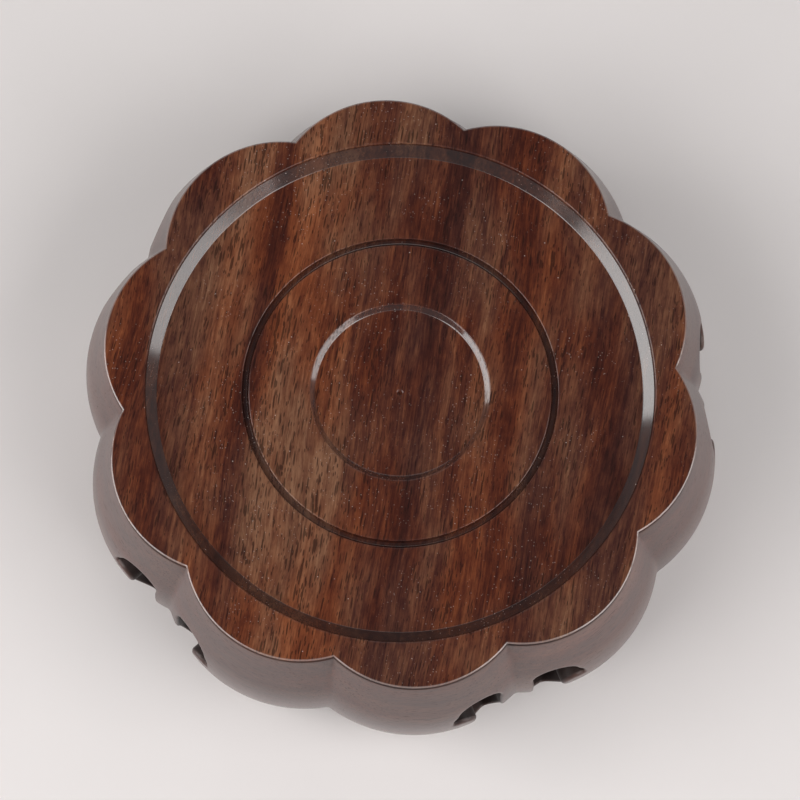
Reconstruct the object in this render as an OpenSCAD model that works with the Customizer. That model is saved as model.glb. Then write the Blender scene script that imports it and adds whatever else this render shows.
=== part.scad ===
// Ten-lobed hardwood stand. A turned top board sits on a ring of ten mitred wall staves,
// which are tongued to one another, pegged to the board and held together below by a ring.

/* [Overall] */
// Height from the floor to the rim
stand_h = 32; // [29:0.5:38]
// Radius from the middle of the stand to the tip of a lobe at the rim
rim_r = 47.4; // [45:0.2:51]
// Radius of the arc that shapes each lobe at the rim
lobe_r = 18.3; // [16.5:0.1:20]

/* [Wall profile] */
// Lean of the straight part of the wall under the board, in degrees
flare_lean = 17; // [10:0.5:20]
// Height of the straight leaning part under the board
flare_h = 9.5; // [6:0.1:11]
// Radius of the arc that rounds the leaning part into the belly
belly_arc_r = 34.3; // [26:0.1:42]
// How far the wall draws in from the belly to the floor
foot_inset = 6.2; // [3:0.1:7.5]

/* [Top board] */
// Full thickness of the board
board_h = 7; // [6:0.1:8.5]
// Thickness of the scalloped flange that covers the wall
flange_h = 1.8; // [1:0.1:2.6]
// Width of the flat rim between the seat and a notch
rim_land = 3.6; // [2.8:0.1:5]
// Width of wood from the seat to the side of the round plug under it
plug_land = 1.4; // [0.8:0.1:1.8]
// Depth of the seat below the rim
seat_depth = 2; // [1:0.1:2.6]
// Width of the slope around the seat floor
slope_w = 1.75; // [1:0.05:2.4]
// Height of the slope, measured from the seat floor
slope_h = 1.65; // [0.8:0.05:1.8]
// Radius of the middle of the turned groove in the seat floor
groove_r = 24.4; // [20:0.1:30]
// Radius of the rounded cutter that makes the groove
groove_cut_r = 0.85; // [0.65:0.05:1.2]
// Depth of the groove
groove_depth = 0.6; // [0.3:0.05:0.8]
// Radius of the shallow pan in the middle
pan_r = 14.1; // [10:0.1:17]
// Depth of the pan below the seat floor
pan_depth = 0.8; // [0.4:0.05:1.2]
// Width of the small centre mark left from turning
centre_mark_d = 1; // [0.4:0.1:2]

/* [Wall openings] */
// Width of the post left between two paired openings
post_w = 5.6; // [5:0.1:6.2]
// Distance from the rim down to the crown of an opening
crown_drop = 12.1; // [11.4:0.1:12.8]
// Radius of the round head of an opening
head_r = 3.7; // [3.4:0.05:4]
// Radius of the wider shoulder below the head, on the side away from the post
shoulder_r = 4.4; // [4.2:0.05:4.6]
// Distance from the middle of the head down to the middle of the shoulder
shoulder_drop = 2.3; // [1.8:0.1:2.8]
// Distance from the middle of the post to the far side of the shoulder
shoulder_reach = 11.15; // [10.9:0.05:11.4]
// Radius of the curve at the lower end of an opening, on the post's side
tail_r = 4.5; // [4.2:0.1:4.8]
// Height of the lowest point of that curve above the floor
tail_sill = 3.5; // [3.2:0.1:4]
// Radius of the curve at the lower end of an opening, on the nub's side
heel_r = 5; // [4.8:0.1:5.2]
// Distance from the middle of the post to the far side of that curve
heel_reach = 8.2; // [8.1:0.05:8.4]
// Height of the middle of that curve above the floor
heel_h = 8.6; // [8.4:0.1:9]
// Radius of the rounded nub inside the hook of an opening
nub_r = 2.6; // [2.4:0.05:2.8]
// Clear width between the post and the nub
throat_w = 4.5; // [4.4:0.05:4.7]
// Height of the top of the nub above the floor
nub_top = 13.5; // [13:0.1:14]

/* [Joinery] */
// Play on every side of a glued joint
fit = 0.05; // [0.02:0.01:0.12]
// Space left beyond the end of a tongue or peg for glue
glue_gap = 0.3; // [0.1:0.05:0.6]
// Width of a tongue across the seam between two staves
tongue_w = 3; // [2:0.1:3.6]
// Thickness of a tongue, measured outward
tongue_t = 1.6; // [1:0.1:2.2]
// Distance from the hollow to the inner side of a tongue
tongue_set = 4; // [3.4:0.1:4.8]
// Diameter of the pegs between the staves and the board
peg_d = 3; // [2:0.1:3.4]
// Depth of the pegs in the staves
peg_down = 4.4; // [3:0.1:5]
// Depth of the peg holes in the board
peg_up = 3.2; // [2:0.1:3.6]
// Width of the ledge in the staves that carries the plug
ledge_w = 7.4; // [6.6:0.1:8.4]

/* [Base ring] */
// Height of the base ring
ring_h = 2.8; // [2:0.1:3]
// Distance that the base ring stands clear of the floor
ring_lift = 0.5; // [0.2:0.1:0.8]
// Depth of the rebate in the staves that takes the ring
ring_step = 3; // [2:0.1:3.6]
// Width of the base ring from its outside to its hole
ring_w = 10; // [6:0.5:15]

/* [Hidden] */
$fn = 96;
lobe_count = 10;
lobe_turn = 360 / lobe_count;
half_turn = lobe_turn / 2;
axis_r = rim_r - lobe_r;
notch_r = axis_r * cos(half_turn) + sqrt(lobe_r * lobe_r - pow(axis_r * sin(half_turn), 2));
seat_r = notch_r - rim_land;
plug_r = seat_r + plug_land;
hollow_r = plug_r - ledge_w;
stave_top = stand_h - flange_h;
ledge_z = stand_h - board_h;
flare_z = stave_top - flare_h;
flare_r = lobe_r + flare_h * tan(flare_lean);
belly_z = flare_z - belly_arc_r * sin(flare_lean);
belly_r = flare_r + belly_arc_r * (1 - cos(flare_lean));
foot_arc_r = (belly_z * belly_z + foot_inset * foot_inset) / (2 * foot_inset);
seat_z = stand_h - seat_depth;
post_half = post_w / 2;
head_z = stand_h - crown_drop - head_r;
head_w = post_half + head_r;
leg_w = post_half + 0.1;
tail_z = tail_sill + tail_r;
nub_w = post_half + throat_w + nub_r;
nub_z = nub_top - nub_r;
tongue_r = hollow_r + tongue_set;
peg_r = hollow_r + ledge_w / 2;
rebate_r = hollow_r + ring_step;
rebate_z = ring_lift + ring_h;
ring_hole_r = rebate_r - ring_w;
tongue_z = rebate_z + glue_gap;
rosewood = [0.27, 0.12, 0.08];
dark_rosewood = [0.2, 0.09, 0.06];
pale_wood = [0.45, 0.28, 0.16];
far = 70;

// Half outline of one lobe, turned about the lobe's own upright axis
module lobe_body() {
    rotate_extrude()
        union() {
            polygon([
                [0, flare_z],
                [flare_r, flare_z],
                [lobe_r - flange_h * tan(flare_lean), stand_h],
                [0, stand_h]
            ]);
            intersection() {
                translate([belly_r - belly_arc_r, belly_z])
                    circle(belly_arc_r);
                translate([0, belly_z])
                    square([far, flare_z - belly_z]);
            }
            intersection() {
                translate([belly_r - foot_arc_r, belly_z])
                    circle(foot_arc_r);
                square([far, belly_z]);
            }
            square([max(belly_r - foot_arc_r, 1), belly_z]);
        }
}

// The lobe in its place, pointing along +X
module placed_lobe() {
    translate([axis_r, 0, 0])
        lobe_body();
}

// Wedge of one stave between the two mitre planes, up to the flange
module stave_wedge() {
    linear_extrude(stave_top)
        polygon([
            [0, 0],
            [far * cos(half_turn), -far * sin(half_turn)],
            [far * cos(half_turn), far * sin(half_turn)]
        ]);
}

// Hooked outline of an opening, measured out from the post's middle and up from the floor
module opening_outline() {
    difference() {
        union() {
            translate([head_w, head_z])
                circle(head_r);
            intersection() {
                translate([shoulder_reach - shoulder_r, head_z - shoulder_drop])
                    circle(shoulder_r);
                translate([head_w, 0])
                    square([far, far]);
            }
            translate([leg_w, heel_h])
                square([throat_w, head_z - heel_h]);
            intersection() {
                translate([post_half + tail_r, tail_z])
                    circle(tail_r);
                translate([heel_reach - heel_r, heel_h])
                    circle(heel_r);
            }
        }
        translate([nub_w, nub_z])
            circle(nub_r);
    }
}

// Opening cut straight through the wall, beside the post on the -Y mitre plane
module opening_cut() {
    rotate([0, 0, -half_turn])
        translate([hollow_r / 2, 0, 0])
            rotate([90, 0, 90])
                linear_extrude(far)
                    opening_outline();
}

// Groove for a tongue, lying across the mitre plane at the given angle
module tongue_groove(angle) {
    rotate([0, 0, angle])
        translate([tongue_r - fit, -tongue_w / 2 - fit, tongue_z])
            cube([tongue_t + 2 * fit, tongue_w + 2 * fit, stand_h]);
}

// One wall stave with its post on the -Y side
module stave_blank() {
    difference() {
        intersection() {
            placed_lobe();
            stave_wedge();
        }
        translate([0, 0, -1])
            cylinder(r = hollow_r, h = stand_h);
        translate([0, 0, -1])
            cylinder(r = rebate_r, h = rebate_z + 1);
        translate([0, 0, ledge_z])
            cylinder(r = plug_r + fit, h = stand_h);
        opening_cut();
        tongue_groove(-half_turn);
        tongue_groove(half_turn);
        translate([peg_r, 0, ledge_z - peg_down])
            cylinder(d = peg_d + 2 * fit, h = stand_h);
    }
}

// A stave in its place; odd and even staves are mirror images, so that openings pair up
module stave(number) {
    color(rosewood)
        rotate([0, 0, lobe_turn * (number - 0.5)])
            mirror([0, number % 2 == 0 ? 1 : 0, 0])
                stave_blank();
}

module stave_01() { stave(1); }

module stave_02() { stave(2); }

module stave_03() { stave(3); }

module stave_04() { stave(4); }

module stave_05() { stave(5); }

module stave_06() { stave(6); }

module stave_07() { stave(7); }

module stave_08() { stave(8); }

module stave_09() { stave(9); }

module stave_10() { stave(10); }

// Ten-lobed outline of the rim
module rim_outline() {
    union() {
        for (i = [0 : lobe_count - 1])
            rotate(lobe_turn * (i + 0.5))
                translate([axis_r, 0])
                    circle(lobe_r);
        circle(axis_r);
    }
}

// Seat, slope, groove and pan, all turned about the middle
module board_turning() {
    translate([0, 0, seat_z])
        rotate_extrude()
            polygon([
                [0, 0],
                [seat_r - slope_w, 0],
                [seat_r, slope_h],
                [seat_r, seat_depth + 1],
                [0, seat_depth + 1]
            ]);
    translate([0, 0, seat_z])
        rotate_extrude()
            translate([groove_r, groove_cut_r - groove_depth])
                circle(groove_cut_r);
    translate([0, 0, seat_z - pan_depth])
        rotate_extrude()
            union() {
                square([pan_r - pan_depth, pan_depth + 1]);
                intersection() {
                    translate([pan_r - pan_depth, pan_depth])
                        circle(pan_depth);
                    square([pan_r, pan_depth]);
                }
            }
    translate([0, 0, seat_z - pan_depth - centre_mark_d / 2])
        cylinder(d1 = 0, d2 = centre_mark_d * 2, h = centre_mark_d);
}

// Scalloped flange on a round plug, with the seat turned into its top
module top_board() {
    color(dark_rosewood)
        difference() {
            union() {
                translate([0, 0, stave_top])
                    linear_extrude(flange_h)
                        rim_outline();
                translate([0, 0, ledge_z])
                    cylinder(r = plug_r, h = board_h - flange_h / 2);
            }
            board_turning();
            for (i = [0 : lobe_count - 1])
                rotate([0, 0, lobe_turn * (i + 0.5)])
                    translate([peg_r, 0, ledge_z - 1])
                        cylinder(d = peg_d + 2 * fit, h = peg_up + 1);
        }
}

module seam_tongues() {
    color(pale_wood)
        for (i = [0 : lobe_count - 1])
            rotate([0, 0, lobe_turn * i])
                translate([tongue_r, -tongue_w / 2, tongue_z])
                    cube([tongue_t, tongue_w, ledge_z - tongue_z - glue_gap]);
}

module board_pegs() {
    color(pale_wood)
        for (i = [0 : lobe_count - 1])
            rotate([0, 0, lobe_turn * (i + 0.5)])
                translate([peg_r, 0, ledge_z - peg_down])
                    cylinder(d = peg_d, h = peg_down + peg_up - glue_gap);
}

module base_ring() {
    color(dark_rosewood)
        translate([0, 0, ring_lift])
            difference() {
                cylinder(r = rebate_r - fit, h = ring_h);
                translate([0, 0, -1])
                    cylinder(r = ring_hole_r, h = ring_h + 2);
            }
}

top_board();
stave_01();
stave_02();
stave_03();
stave_04();
stave_05();
stave_06();
stave_07();
stave_08();
stave_09();
stave_10();
seam_tongues();
board_pegs();
base_ring();
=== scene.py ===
"""A ten-lobed hardwood display stand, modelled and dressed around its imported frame.

Sizes are in millimetres unless a name says otherwise, and are turned into metres by MM
as a mesh is made. The stand's middle is the origin, its floor is z = 0 and +Z is up.
"""
import logging
import math
from dataclasses import dataclass, field
from enum import Enum
from typing import Any, Callable, Dict, List, Optional, Sequence, Tuple, Union

import bmesh
import bpy
import numpy as np
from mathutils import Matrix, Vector
from mathutils.geometry import delaunay_2d_cdt


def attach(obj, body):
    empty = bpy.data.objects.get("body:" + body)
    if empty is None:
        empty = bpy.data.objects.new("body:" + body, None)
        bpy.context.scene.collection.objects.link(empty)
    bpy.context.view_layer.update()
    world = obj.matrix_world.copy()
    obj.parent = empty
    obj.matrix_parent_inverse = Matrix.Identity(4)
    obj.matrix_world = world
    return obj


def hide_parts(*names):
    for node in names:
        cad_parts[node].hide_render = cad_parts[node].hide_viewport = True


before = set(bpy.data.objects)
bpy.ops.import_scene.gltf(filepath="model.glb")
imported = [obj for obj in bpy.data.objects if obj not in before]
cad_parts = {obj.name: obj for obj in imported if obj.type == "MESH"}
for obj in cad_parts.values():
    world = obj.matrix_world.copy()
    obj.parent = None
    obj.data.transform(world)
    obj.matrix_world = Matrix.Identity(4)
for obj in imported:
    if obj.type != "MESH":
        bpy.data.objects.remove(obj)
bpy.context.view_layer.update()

MM = 0.001
IMAGE_SIDE = 800
BODY = "root"
GRAIN = "grain"
# The polish attribute sets gloss and roughness, and where it is 0 also painted shade.
POLISH = "polish"
# The turned attribute carries painted shade, painted highlights and gloss.
TURNED = "turned"

Colour = Tuple[float, float, float]
Point = Tuple[float, float]
Triple = Tuple[float, float, float]
Feed = Union["Wire", float, Sequence[float]]

log = logging.getLogger("stand")


# modelling helpers


class Bench:
    """Short forms of the modelling operators, used with everything else deselected."""

    @staticmethod
    def clear() -> None:
        """Goes back to object mode with nothing selected."""
        if bpy.context.mode != "OBJECT":
            bpy.ops.object.mode_set(mode="OBJECT")
        bpy.ops.object.select_all(action="DESELECT")

    @staticmethod
    def take(piece: bpy.types.Object) -> None:
        """Makes one piece the only selected and active one."""
        Bench.clear()
        piece.select_set(True)
        bpy.context.view_layer.objects.active = piece

    @staticmethod
    def open(piece: bpy.types.Object) -> None:
        """Opens one piece for editing, with none of its vertices selected."""
        Bench.take(piece)
        bpy.ops.object.mode_set(mode="EDIT")
        bpy.ops.mesh.select_mode(type="VERT")
        bpy.ops.mesh.select_all(action="DESELECT")

    @staticmethod
    def pick(piece: bpy.types.Object, test: Callable[[Vector], bool]) -> int:
        """Selects the vertices of the open piece by their place.

        Args:
            piece: The piece that is open for editing.
            test: Says whether a vertex at that place is wanted.

        Returns:
            The number of vertices selected.
        """
        mesh = bmesh.from_edit_mesh(piece.data)
        count = 0
        for vertex in mesh.verts:
            wanted = bool(test(vertex.co))
            vertex.select_set(wanted)
            count += wanted
        mesh.select_flush_mode()
        bmesh.update_edit_mesh(piece.data)
        return count

    @staticmethod
    def circle(name: str, radius: float, z: float, steps: int, fill: str) -> bpy.types.Object:
        """Adds a flat circle around the stand's axis and opens it with its rim selected.

        Args:
            name: Name of the new piece.
            radius: Radius of the circle.
            z: Height of the circle.
            steps: Number of vertices around it.
            fill: How its inside is filled, as the circle primitive names it.

        Returns:
            The new piece, open for editing.
        """
        Bench.clear()
        bpy.ops.mesh.primitive_circle_add(
            vertices=steps, radius=radius * MM, fill_type=fill, location=(0.0, 0.0, z * MM)
        )
        piece = bpy.context.active_object
        piece.name = name
        bpy.ops.object.transform_apply(location=True, rotation=True, scale=True)
        Bench.open(piece)
        Bench.pick(piece, lambda co: math.hypot(co.x, co.y) > radius * MM * 0.5)
        return piece

    @staticmethod
    def step_ring(here: Point, there: Point) -> None:
        """Extrudes the selected ring about the stand's axis.

        Args:
            here: Radius and height of the ring now.
            there: Radius and height that the new ring gets.
        """
        bpy.ops.mesh.extrude_region()
        grow = there[0] / here[0]
        if abs(grow - 1.0) > 1e-9:
            bpy.ops.transform.resize(value=(grow, grow, 1.0), center_override=(0.0, 0.0, 0.0))
        rise = (there[1] - here[1]) * MM
        if abs(rise) > 1e-12:
            bpy.ops.transform.translate(value=(0.0, 0.0, rise))

    @staticmethod
    def close(piece: bpy.types.Object, merge: float = 1e-6) -> None:
        """Merges doubles, turns the faces outwards and goes back to object mode."""
        bpy.ops.mesh.select_all(action="SELECT")
        bpy.ops.mesh.remove_doubles(threshold=merge)
        bpy.ops.mesh.normals_make_consistent(inside=False)
        bpy.ops.object.mode_set(mode="OBJECT")

    @staticmethod
    def soften(piece: bpy.types.Object, angle: float = 32.0) -> None:
        """Shades a piece smooth, apart from edges sharper than an angle in degrees."""
        Bench.take(piece)
        bpy.ops.object.shade_smooth_by_angle(angle=math.radians(angle))

    @staticmethod
    def cut(piece: bpy.types.Object, cutter: bpy.types.Object) -> None:
        """Takes a cutter's solid out of a piece and removes the cutter."""
        Bench.take(piece)
        change = piece.modifiers.new("cut", "BOOLEAN")
        change.operation = "DIFFERENCE"
        change.solver = "EXACT"
        change.object = cutter
        bpy.ops.object.modifier_apply(modifier=change.name)
        Bench.take(cutter)
        bpy.ops.object.delete()


def lay_values(piece: bpy.types.Object, name: str, values: np.ndarray) -> None:
    """Stores one value for each vertex of a piece as an attribute."""
    layer = piece.data.attributes.new(name, "FLOAT", "POINT")
    layer.data.foreach_set("value", values.astype(np.float32))


def places(piece: bpy.types.Object) -> np.ndarray:
    """Places of a piece's vertices, in millimetres, as rows of x, y and z."""
    flat = np.zeros(len(piece.data.vertices) * 3)
    piece.data.vertices.foreach_get("co", flat)
    return flat.reshape(-1, 3) / MM


def fillet_drop(offset: float, radius: float) -> float:
    """How far a rounded edge lies below its face, at a distance in from the edge."""
    if offset >= radius:
        return 0.0
    return radius - math.sqrt(max(radius * radius - (radius - offset) ** 2, 0.0))


def arc(centre: Point, radius: float, start: float, end: float, steps: int) -> List[Point]:
    """Points along an arc, both ends included.

    Args:
        centre: Middle of the arc.
        radius: Its radius.
        start: Angle of its first point, in degrees.
        end: Angle of its last point, in degrees.
        steps: Number of equal steps.

    Returns:
        The points in order.
    """
    points = []
    for i in range(steps + 1):
        turn = math.radians(start + (end - start) * i / steps)
        points.append((centre[0] + radius * math.cos(turn), centre[1] + radius * math.sin(turn)))
    return points


def held(rings: Sequence[Point], hold: float = 0.04, long: float = 0.3) -> List[Point]:
    """Adds a ring close to each end of every long step, so that flats shade flat.

    Args:
        rings: Radius and height of each ring in order.
        hold: Distance of an added ring from the end of its step.
        long: Length from which a step gets them.

    Returns:
        All the rings in order.
    """
    result = [rings[0]]
    for here, there in zip(rings, rings[1:]):
        step = math.hypot(there[0] - here[0], there[1] - here[1])
        if step > long:
            for share in (hold / step, 1.0 - hold / step):
                result.append(
                    (here[0] + (there[0] - here[0]) * share, here[1] + (there[1] - here[1]) * share)
                )
        result.append(there)
    return result


# sizes of the stand


@dataclass(frozen=True)
class StandForm:
    """Sizes that the board and the wall share."""

    stand_h: float = 32.0
    rim_r: float = 47.4
    lobe_r: float = 18.3
    lobes: int = 10
    board_h: float = 7.0
    flange_h: float = 1.8
    plug_r: float = 41.43
    seat_r: float = 40.03
    hollow_r: float = 34.03
    rebate_r: float = 37.03
    rebate_z: float = 3.3
    flare_lean: float = 17.0
    flare_h: float = 9.5
    belly_arc_r: float = 34.3
    foot_inset: float = 6.2
    fit: float = 0.05

    @property
    def half_turn(self) -> float:
        """Half the angle of one lobe, in radians."""
        return math.pi / self.lobes

    @property
    def axis_r(self) -> float:
        """Distance of a lobe's own axis from the middle of the stand."""
        return self.rim_r - self.lobe_r

    @property
    def stave_top(self) -> float:
        """Height of the wall under the flange."""
        return self.stand_h - self.flange_h

    @property
    def ledge_z(self) -> float:
        """Height of the ledge that carries the plug."""
        return self.stand_h - self.board_h

    @property
    def flare_z(self) -> float:
        """Height at which the straight leaning part starts."""
        return self.stave_top - self.flare_h

    @property
    def belly_z(self) -> float:
        """Height of the widest part of the wall."""
        return self.flare_z - self.belly_arc_r * math.sin(math.radians(self.flare_lean))

    @property
    def belly_r(self) -> float:
        """Radius of a lobe at its widest part."""
        lean = math.radians(self.flare_lean)
        flare = self.lobe_r + self.flare_h * math.tan(lean)
        return flare + self.belly_arc_r * (1.0 - math.cos(lean))

    @property
    def foot_arc_r(self) -> float:
        """Radius of the arc from the belly down to the floor."""
        return (self.belly_z**2 + self.foot_inset**2) / (2.0 * self.foot_inset)

    def lobe_radius(self, z: float) -> float:
        """Radius of a lobe about its own axis at a height."""
        if z >= self.flare_z:
            return self.lobe_r + (self.stave_top - z) * math.tan(math.radians(self.flare_lean))
        bend = self.belly_arc_r if z >= self.belly_z else self.foot_arc_r
        return self.belly_r - bend + math.sqrt(max(bend * bend - (z - self.belly_z) ** 2, 0.0))

    def seam_angle(self, z: float) -> float:
        """Angle about a lobe's axis at which its wall meets the next one, in radians."""
        across = self.axis_r * math.sin(self.half_turn)
        reach = self.axis_r * math.cos(self.half_turn)
        reach += math.sqrt(self.lobe_radius(z) ** 2 - across**2)
        return math.atan2(
            reach * math.sin(self.half_turn), reach * math.cos(self.half_turn) - self.axis_r
        )

    def rim_radius(self, angle: float, inset: float) -> float:
        """Radius of the scalloped rim.

        Args:
            angle: Angle from the middle of a lobe, in radians.
            inset: Distance in from the outline.

        Returns:
            The distance from the middle of the stand.
        """
        across = self.axis_r * math.sin(angle)
        return self.axis_r * math.cos(angle) + math.sqrt((self.lobe_r - inset) ** 2 - across**2)


# shader helpers


class Wire:
    """An output socket that takes part in Python sums, each of which adds a Math node."""

    def __init__(self, graph: "Graph", socket: bpy.types.NodeSocket) -> None:
        """Wraps one socket of a graph."""
        self.graph = graph
        self.socket = socket

    def _math(self, operation: str, left: Feed, right: Feed) -> "Wire":
        """Adds one Math node."""
        return self.graph.node("ShaderNodeMath", {"operation": operation}, {0: left, 1: right})

    def __add__(self, other: Feed) -> "Wire":
        """Sum."""
        return self._math("ADD", self, other)

    def __radd__(self, other: Feed) -> "Wire":
        """Sum, from the right."""
        return self._math("ADD", other, self)

    def __sub__(self, other: Feed) -> "Wire":
        """Difference."""
        return self._math("SUBTRACT", self, other)

    def __rsub__(self, other: Feed) -> "Wire":
        """Difference, from the right."""
        return self._math("SUBTRACT", other, self)

    def __mul__(self, other: Feed) -> "Wire":
        """Product."""
        return self._math("MULTIPLY", self, other)

    def __rmul__(self, other: Feed) -> "Wire":
        """Product, from the right."""
        return self._math("MULTIPLY", other, self)

    def __truediv__(self, other: Feed) -> "Wire":
        """Quotient."""
        return self._math("DIVIDE", self, other)

    def __pow__(self, other: Feed) -> "Wire":
        """Power."""
        return self._math("POWER", self, other)

    def least(self, other: Feed) -> "Wire":
        """The smaller of two values."""
        return self._math("MINIMUM", self, other)

    def most(self, other: Feed) -> "Wire":
        """The larger of two values."""
        return self._math("MAXIMUM", self, other)

    def fade(self, start: float, end: float) -> "Wire":
        """A smooth mask that is 0 where the value is at start and 1 where it is at end."""
        settings = {"interpolation_type": "SMOOTHSTEP"}
        return self.graph.node(
            "ShaderNodeMapRange", settings, {0: self, 1: start, 2: end, 3: 0.0, 4: 1.0}
        )


class Graph:
    """The nodes of one material or of the surroundings."""

    def __init__(self, tree: bpy.types.NodeTree) -> None:
        """Starts from an empty tree."""
        self.tree = tree
        tree.nodes.clear()

    def node(
        self,
        kind: str,
        settings: Optional[Dict[str, Any]] = None,
        feeds: Optional[Dict[Union[int, str], Feed]] = None,
        output: Union[int, str] = 0,
    ) -> Wire:
        """Adds one node.

        Args:
            kind: The node's type.
            settings: Its own settings, set first; "stops" is a list of a ramp's stops.
            feeds: What goes into its sockets, by number or name: a wire or a value.
            output: The socket that is handed back.

        Returns:
            The chosen output.
        """
        made = self.tree.nodes.new(kind)
        for key, value in (settings or {}).items():
            if key == "stops":
                self._set_stops(made, value)
            else:
                setattr(made, key, value)
        for key, value in (feeds or {}).items():
            if isinstance(value, Wire):
                self.tree.links.new(value.socket, made.inputs[key])
            else:
                made.inputs[key].default_value = value
        return Wire(self, made.outputs[output] if len(made.outputs) else made.inputs[0])

    @staticmethod
    def _set_stops(ramp: bpy.types.Node, stops: Sequence[Tuple[float, Colour]]) -> None:
        """Gives a ramp its stops, in order."""
        elements = ramp.color_ramp.elements
        while len(elements) < len(stops):
            elements.new(1.0)
        for element, (place, colour) in zip(elements, stops):
            element.position = place
            element.color = (*colour, 1.0)

    def stretch(self, vector: Wire, sizes: Triple) -> Wire:
        """Divides a vector by a size along each axis."""
        feeds = {0: vector, 1: tuple(1.0 / size for size in sizes)}
        return self.node("ShaderNodeVectorMath", {"operation": "MULTIPLY"}, feeds)

    def noise(self, vector: Wire, sizes: Triple, detail: float = 2.0, rough: float = 0.5) -> Wire:
        """Smooth noise whose lumps have about the given size along each axis.

        Args:
            vector: Place in millimetres.
            sizes: Size of a lump along each axis, in millimetres.
            detail: Number of finer layers.
            rough: Strength of the finer layers.

        Returns:
            A value around 0.5.
        """
        feeds = {
            "Vector": self.stretch(vector, sizes), "Scale": 1.0, "Detail": detail,
            "Roughness": rough,
        }
        return self.node("ShaderNodeTexNoise", {"noise_dimensions": "3D"}, feeds)

    def cells(self, vector: Wire, sizes: Triple) -> Wire:
        """Distance to the nearest of scattered points, in cells of the given size."""
        feeds = {"Vector": self.stretch(vector, sizes), "Scale": 1.0, "Randomness": 1.0}
        settings = {"voronoi_dimensions": "3D", "feature": "F1"}
        return self.node("ShaderNodeTexVoronoi", settings, feeds, "Distance")

    def blend(self, factor: Feed, first: Feed, second: Feed, how: str = "MIX") -> Wire:
        """Mixes two colours.

        Args:
            factor: Share of the second one.
            first: A colour or a wire.
            second: A colour or a wire.
            how: The way of mixing, as the Mix node names it.

        Returns:
            The mixed colour.
        """
        settings = {"data_type": "RGBA", "blend_type": how}
        feeds = {0: factor, 6: self._rgba(first), 7: self._rgba(second)}
        return self.node("ShaderNodeMix", settings, feeds, 2)

    @staticmethod
    def _rgba(colour: Feed) -> Feed:
        """A colour with its alpha, or the wire as it is."""
        if isinstance(colour, Wire):
            return colour
        return (*tuple(colour)[:3], 1.0)


# finishes


class GrainSource(Enum):
    """Where a finish reads the lie of its grain."""

    PLANK = "one plank, in the stand's own place"
    STAVE = "the piece's own grain attribute"


@dataclass(frozen=True)
class GrowthBand:
    """A streak of darker or paler growth that runs the length of a plank."""

    across: float
    width: float
    shade: float


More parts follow.
